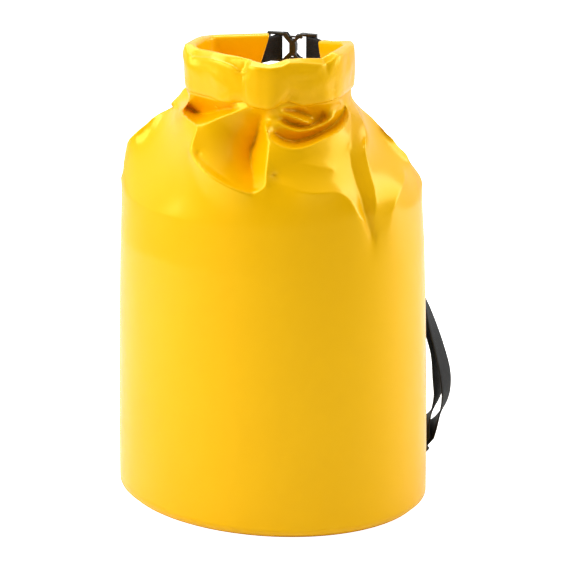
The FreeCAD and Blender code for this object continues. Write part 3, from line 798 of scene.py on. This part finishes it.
# The right shoulder strap, as in the CAD source: its middle line and the heading of its outer face
STRAP_ROUTE = [
    (87.5, 112.5, 300.0, 63.0), (90.5, 111.8, 287.0, 60.0), (97.0, 112.5, 272.0, 42.0),
    (124.0, 116.5, 218.0, 42.0), (133.0, 114.5, 197.0, 24.0), (141.0, 112.5, 176.0, 6.0),
    (149.0, 110.5, 153.0, -5.0), (158.0, 108.5, 126.0, -11.0), (165.0, 107.0, 98.0, -14.0),
    (165.5, 104.5, 73.0, -6.0), (158.5, 100.5, 51.0, 14.0), (149.5, 96.2, 36.5, 44.0),
]
RETURN_TOP = (114.0, 111.1, 237.0, 42.0)
RETURN_ROUTE = [(156.5, 106.5, 98.0, -14.0), (157.5, 104.0, 78.0, -8.0), (152.5, 100.0, 60.0, 8.0),
                (145.6, 94.2, 47.0, 36.0)]
RETURN_OFFSET = 5.5
RING_BAR = np.array([141.0, 91.5, 29.0])
LOOP_END = np.array([127.0, 84.5, 13.0])
LANDING = [(125.4, 6.0), (126.2, 10.0), (127.0, 14.0)]
RING_FACING = 46.0
RING_WIRE = 1.8
RING_PITCH = 9.5
RING_GAP = 6.5
LOOP_GAP = 0.6
LOOP_LEAD = 3.0
PATCH_THICK = 1.5
LANDING_LIFT = PATCH_THICK + 1.6
PARTING = 0.2
TOP_PATCH = (92.0, 27.0, 264.0, 306.0)      # middle X, half width, lowest and highest Z
LOW_PATCH = (124.0, 22.0, 2.0, 34.0)
PATCH_CORNER = 9.0
PATCH_POINTS = 96
# From a patch's middle to its edge: share of its size, and height above its flat face
PATCH_SECTION = [(0.0, 0), (0.3, 0), (0.6, 0), (0.78, 0), (0.84, 0), (0.87, -0.45), (0.90, 0), (0.95, 0),
                 (0.985, -0.35), (1.0, -1.15)]

# Closing buckle and its tabs
BUCKLE_X = 3.0
BUCKLE_Y = 79.0
BAR_OFFSET = 16.25
BAR_RADIUS = 2.2
BAR_PLAY = 0.25             # play of the tab round its bar
TAB_THICK = 1.3
TAB_GAP = 0.75              # half the distance between the tab's two layers inside the roll
TAB_GAP_FREE = 1.4          # and outside it, on the way to the bar
TAB_PLACES = (0.80, 0.88, 0.95, 1.0)        # shares of half the roll where the tab lies inside it


def ring_axes():
    """Pull direction of the lower ring, and its outward normal."""
    pull = unit(LOOP_END - RING_BAR)
    bar = unit(np.cross(pull, heading(RING_FACING)))
    return pull, np.cross(bar, pull)


def strap_line(route, count):
    line = resample(catmull(route, SPAN_STEPS), count)
    return line[:, :3], [heading(degrees) for degrees in line[:, 3]]


def wall_point(x, lift, z):
    """Point on the back of the filled bag's wall at an X and a height, lifted off it, and its normal."""
    half_width = HALF_WIDTH * float(fullness(z / SHOULDER_Z - 1))
    angle = math.asin(x / half_width)
    y = HALF_DEPTH * math.cos(angle)
    normal = unit(np.array([x / half_width ** 2, y / HALF_DEPTH ** 2, 0]))
    return np.array([x, y, z]) + normal * lift, normal


def mirror(points, side):
    return [np.array([p[0] * side, p[1], p[2]]) for p in points]


def make_straps(side, word):
    """One shoulder strap with its returning end and its lower loop; side is 1 right, -1 left."""
    pull, out = ring_axes()
    reach = RING_WIRE + PARTING + WEB_THICK / 2
    points, normals = strap_line(STRAP_ROUTE, STRAP_SAMPLES)
    points = list(points)
    for degrees in range(0, 181, 12):
        angle = math.radians(degrees)
        points.append(RING_BAR + out * (reach * math.cos(angle)) + pull * (reach * math.sin(angle)))
        normals.append(out * math.cos(angle) + pull * math.sin(angle))
    strap = ribbon("strap_" + word, mirror(points, side), mirror(normals, side), WEB_WIDTH, WEB_THICK, 0.1)
    place(strap, "bag", "webbing", WEBBING, "shoulder_strap_" + word)

    route = [RETURN_TOP]
    for x, y, z, degrees in STRAP_ROUTE[3:8]:
        route.append(tuple(np.array([x, y, z]) - heading(degrees) * RETURN_OFFSET) + (degrees,))
    points, normals = strap_line(route + RETURN_ROUTE, RETURN_SAMPLES)
    points = list(points)
    points.append(RING_BAR - out * (reach + 2 * PARTING) - pull * RING_GAP)
    points.append(RING_BAR - out * (reach + PARTING) - pull * 1.0)
    normals += [out, out]
    back = ribbon("strap_end_" + word, mirror(points, side), mirror(normals, side),
                  WEB_WIDTH, WEB_THICK, 0.3)
    place(back, None, "webbing", WEBBING, "strap_return_" + word)
    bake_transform(back)

    bar = RING_BAR + pull * RING_PITCH
    reach = RING_WIRE + LOOP_GAP + WEB_THICK / 2
    points = []
    normals = []
    for x, z in LANDING:
        point, normal = wall_point(x, LANDING_LIFT, z)
        points.append(point)
        normals.append(normal)
    points.append(bar - out * reach + pull * LOOP_LEAD)
    normals.append(out)
    for degrees in range(180, -1, -15):
        angle = math.radians(degrees)
        points.append(bar + out * (reach * math.cos(angle)) - pull * (reach * math.sin(angle)))
        normals.append(-out * math.cos(angle) + pull * math.sin(angle))
    points.append(bar + out * reach + pull * LOOP_LEAD)
    normals.append(-out)
    for x, z in reversed(LANDING):
        point, normal = wall_point(x, LANDING_LIFT + WEB_THICK + LOOP_GAP, z)
        points.append(point)
        normals.append(-normal)
    loop = ribbon("lower_loop_" + word, mirror(points, side), mirror(normals, side), WEB_WIDTH, WEB_THICK)
    place(loop, "bag", "webbing", WEBBING, "lower_anchor_loop_" + word)


def make_patch(name, node, shape, side):
    """Welded patch with rounded corners and a pressed weld line round its edge."""
    middle, half, bottom, top = shape
    tall = (top - bottom) / 2
    points = []
    for ring, step in PATCH_SECTION:
        for k in range(PATCH_POINTS):
            angle = 2 * math.pi * k / PATCH_POINTS
            c, s = math.cos(angle), math.sin(angle)
            stretch = 1 / max(abs(c), abs(s))
            u = c * stretch * half
            v = s * stretch * tall
            over_u = max(abs(u) - (half - PATCH_CORNER), 0)
            over_v = max(abs(v) - (tall - PATCH_CORNER), 0)
            over = math.hypot(over_u, over_v)
            if over > PATCH_CORNER:
                u = math.copysign(half - PATCH_CORNER + over_u * PATCH_CORNER / over, u)
                v = math.copysign(tall - PATCH_CORNER + over_v * PATCH_CORNER / over, v)
            point, _ = wall_point(middle + u * ring, PATCH_THICK + step, (top + bottom) / 2 + v * ring)
            points.append([point[0] * side, point[1], point[2]])
    faces = grid_faces(len(PATCH_SECTION), PATCH_POINTS, True)
    if side < 0:
        faces = faces[:, ::-1]
    patch = mesh_object(name, points, faces)
    place(patch, "bag", "patch_fabric", PATCH_FABRIC, node)


def make_tab(side, word):
    """Doubled webbing from inside the roll's end round the web bar of one buckle half."""
    bar = np.array([BUCKLE_X + side * BAR_OFFSET, BUCKLE_Y, ROLL_MIDDLE_Z])
    ends = []
    for share in TAB_PLACES:
        x, y, _, _ = (float(value) for value in plan_frame(np.array(side * share)))
        ends.append(np.array([x, y, ROLL_MIDDLE_Z]))
    ahead = unit(bar - ends[-1])
    across = np.array([-ahead[1], ahead[0], 0.0])
    reach = BAR_RADIUS + BAR_PLAY + TAB_THICK / 2
    outward, inward = [], []
    line = ends + [ends[-1] * 0.4 + bar * 0.6 - ahead * 2]
    for k, point in enumerate(line):
        gap = TAB_GAP if k < len(ends) else TAB_GAP_FREE
        outward.append(point + across * gap)
        inward.append(point - across * gap)
    loop = []
    for degrees in range(100, -101, -20):
        angle = math.radians(degrees)
        loop.append(bar + ahead * (reach * math.cos(angle)) + across * (reach * math.sin(angle)))
    points = outward + loop + inward[::-1]
    points = catmull(points, 4)
    step = unit(np.gradient(points, axis=0))
    normals = np.stack([-step[:, 1], step[:, 0], np.zeros(len(step))], -1)
    return ribbon("closing_tab_" + word, points, normals, WEB_WIDTH, TAB_THICK)


def make_tabs():
    left = make_tab(-1, "left")
    place(left, None, "webbing", WEBBING, "webbing_tab_left")
    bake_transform(left)
    right = make_tab(1, "right")
    place(right, "bag", "webbing", WEBBING, "webbing_tab_right")


STITCH_PITCH = 2.7
STITCH_RADIUS = 0.42
STITCH_SIDES = 6
STITCH_SINK = 0.1           # how deep a stitch's middle line lies in the webbing
# One stitch: share of its length, and radius against STITCH_RADIUS
STITCH_SECTION = ((0.06, 0.2), (0.25, 1.0), (0.75, 1.0), (0.94, 0.2))
STRAP_STEP = 1.9            # millimetres between two samples of the strap, about
# Box and cross sewn through the top of each strap: place along the strap in samples, then across it in mm
STITCH_PATH = [(2, -9), (2, 9), (12, 9), (12, -9), (2, -9), (12, 9), (12, -9), (2, 9)]


def make_stitches(side, word):
    """Box-and-cross seam of short raised stitches on the outer face of a strap's top end."""
    points, normals = strap_line(STRAP_ROUTE, STRAP_SAMPLES)
    normals = np.array(normals)
    across = unit(np.cross(unit(np.gradient(points, axis=0)), normals))
    surface = points + normals * (WEB_THICK / 2 - STITCH_SINK)
    index = np.arange(len(points))
    seam = resample(np.array(STITCH_PATH, float) * np.array([STRAP_STEP, 1.0]), 400)
    length = np.linalg.norm(np.diff(seam, axis=0), axis=1).sum()
    seam = resample(seam, int(length / STITCH_PITCH))
    laid = []
    for along, shift in seam:
        k = along / STRAP_STEP
        laid.append([np.interp(k, index, surface[:, axis]) + shift * np.interp(k, index, across[:, axis])
                     for axis in range(3)])
    laid = np.array(laid)
    out = normals[7]            # halfway along the box
    vertices, faces = [], []
    for first, second in zip(laid[:-1], laid[1:]):
        ahead = unit(second - first)
        beside_it = np.cross(ahead, out)
        for share, radius in STITCH_SECTION:
            middle = first + (second - first) * share
            for k in range(STITCH_SIDES):
                turn = 2 * math.pi * k / STITCH_SIDES
                reach = (beside_it * math.cos(turn) + out * math.sin(turn)) * radius * STITCH_RADIUS
                vertices.append((middle + reach) * np.array([side, 1, 1]))
        first_corner = len(vertices) - len(STITCH_SECTION) * STITCH_SIDES
        faces.extend((grid_faces(len(STITCH_SECTION), STITCH_SIDES, True) + first_corner).tolist())
    piece = mesh_object("stitches_" + word, vertices, faces)
    place(piece, "bag", None, THREAD)


# ---------------------------------------------------------------- hard parts and base

def finish_hard_parts():
    """CAD parts keep their shape and get a small moulded edge and their material."""
    finishes = {"buckle_female": (PLASTIC, 0.45), "buckle_male": (PLASTIC, 0.45),
                "prong_upper": (PLASTIC, 0.3), "prong_lower": (PLASTIC, 0.3)}
    for word in ("left", "right"):
        finishes["strap_slide_" + word] = (PLASTIC, 0.5)
        finishes["lower_ring_" + word] = (RING_METAL, 0.0)
    for node, (material, edge) in finishes.items():
        part = NODES[node]
        part.data.materials.clear()
        part.data.materials.append(material)
        if edge:
            add_modifier(part, "BEVEL", width=edge * MM, segments=2, limit_method="ANGLE",
                         angle_limit=math.radians(40), harden_normals=True)


BASE_POINTS = 160
# From the panel's edge to its middle: distance in from the wall, and height above the floor
BASE_SECTION = [(BOTTOM_ROUND - 0.5, 0.25), (BOTTOM_ROUND + 1.5, 0.1), (18.0, 0.1), (19.0, 0.5),
                (20.0, 1.3), (40.0, 1.5), (80.0, 1.9), (127.0, 2.1)]


def make_base_panel():
    """Oval bottom panel with its welded rim, a little proud of the sunken middle."""
    points = []
    for inset, z in BASE_SECTION:
        for k in range(BASE_POINTS):
            angle = 2 * math.pi * k / BASE_POINTS
            x = (HALF_WIDTH - inset) * math.sin(angle)
            y = (HALF_DEPTH - inset) * -math.cos(angle)
            points.append([x, y, z])
    faces = grid_faces(len(BASE_SECTION), BASE_POINTS, True)[:, ::-1]
    panel = mesh_object("base_panel", points, faces)
    place(panel, "bag", "coated_fabric", FABRIC, "base_disc", "base_weld_flange")


make_camera()
make_studio()
make_body()
make_roll()
for strap_side, strap_word in ((1, "right"), (-1, "left")):
    make_straps(strap_side, strap_word)
    make_stitches(strap_side, strap_word)
    make_patch("upper_patch_" + strap_word, "top_anchor_patch_" + strap_word, TOP_PATCH, strap_side)
    make_patch("lower_patch_" + strap_word, "lower_anchor_patch_" + strap_word, LOW_PATCH, strap_side)
make_tabs()
make_base_panel()
finish_hard_parts()
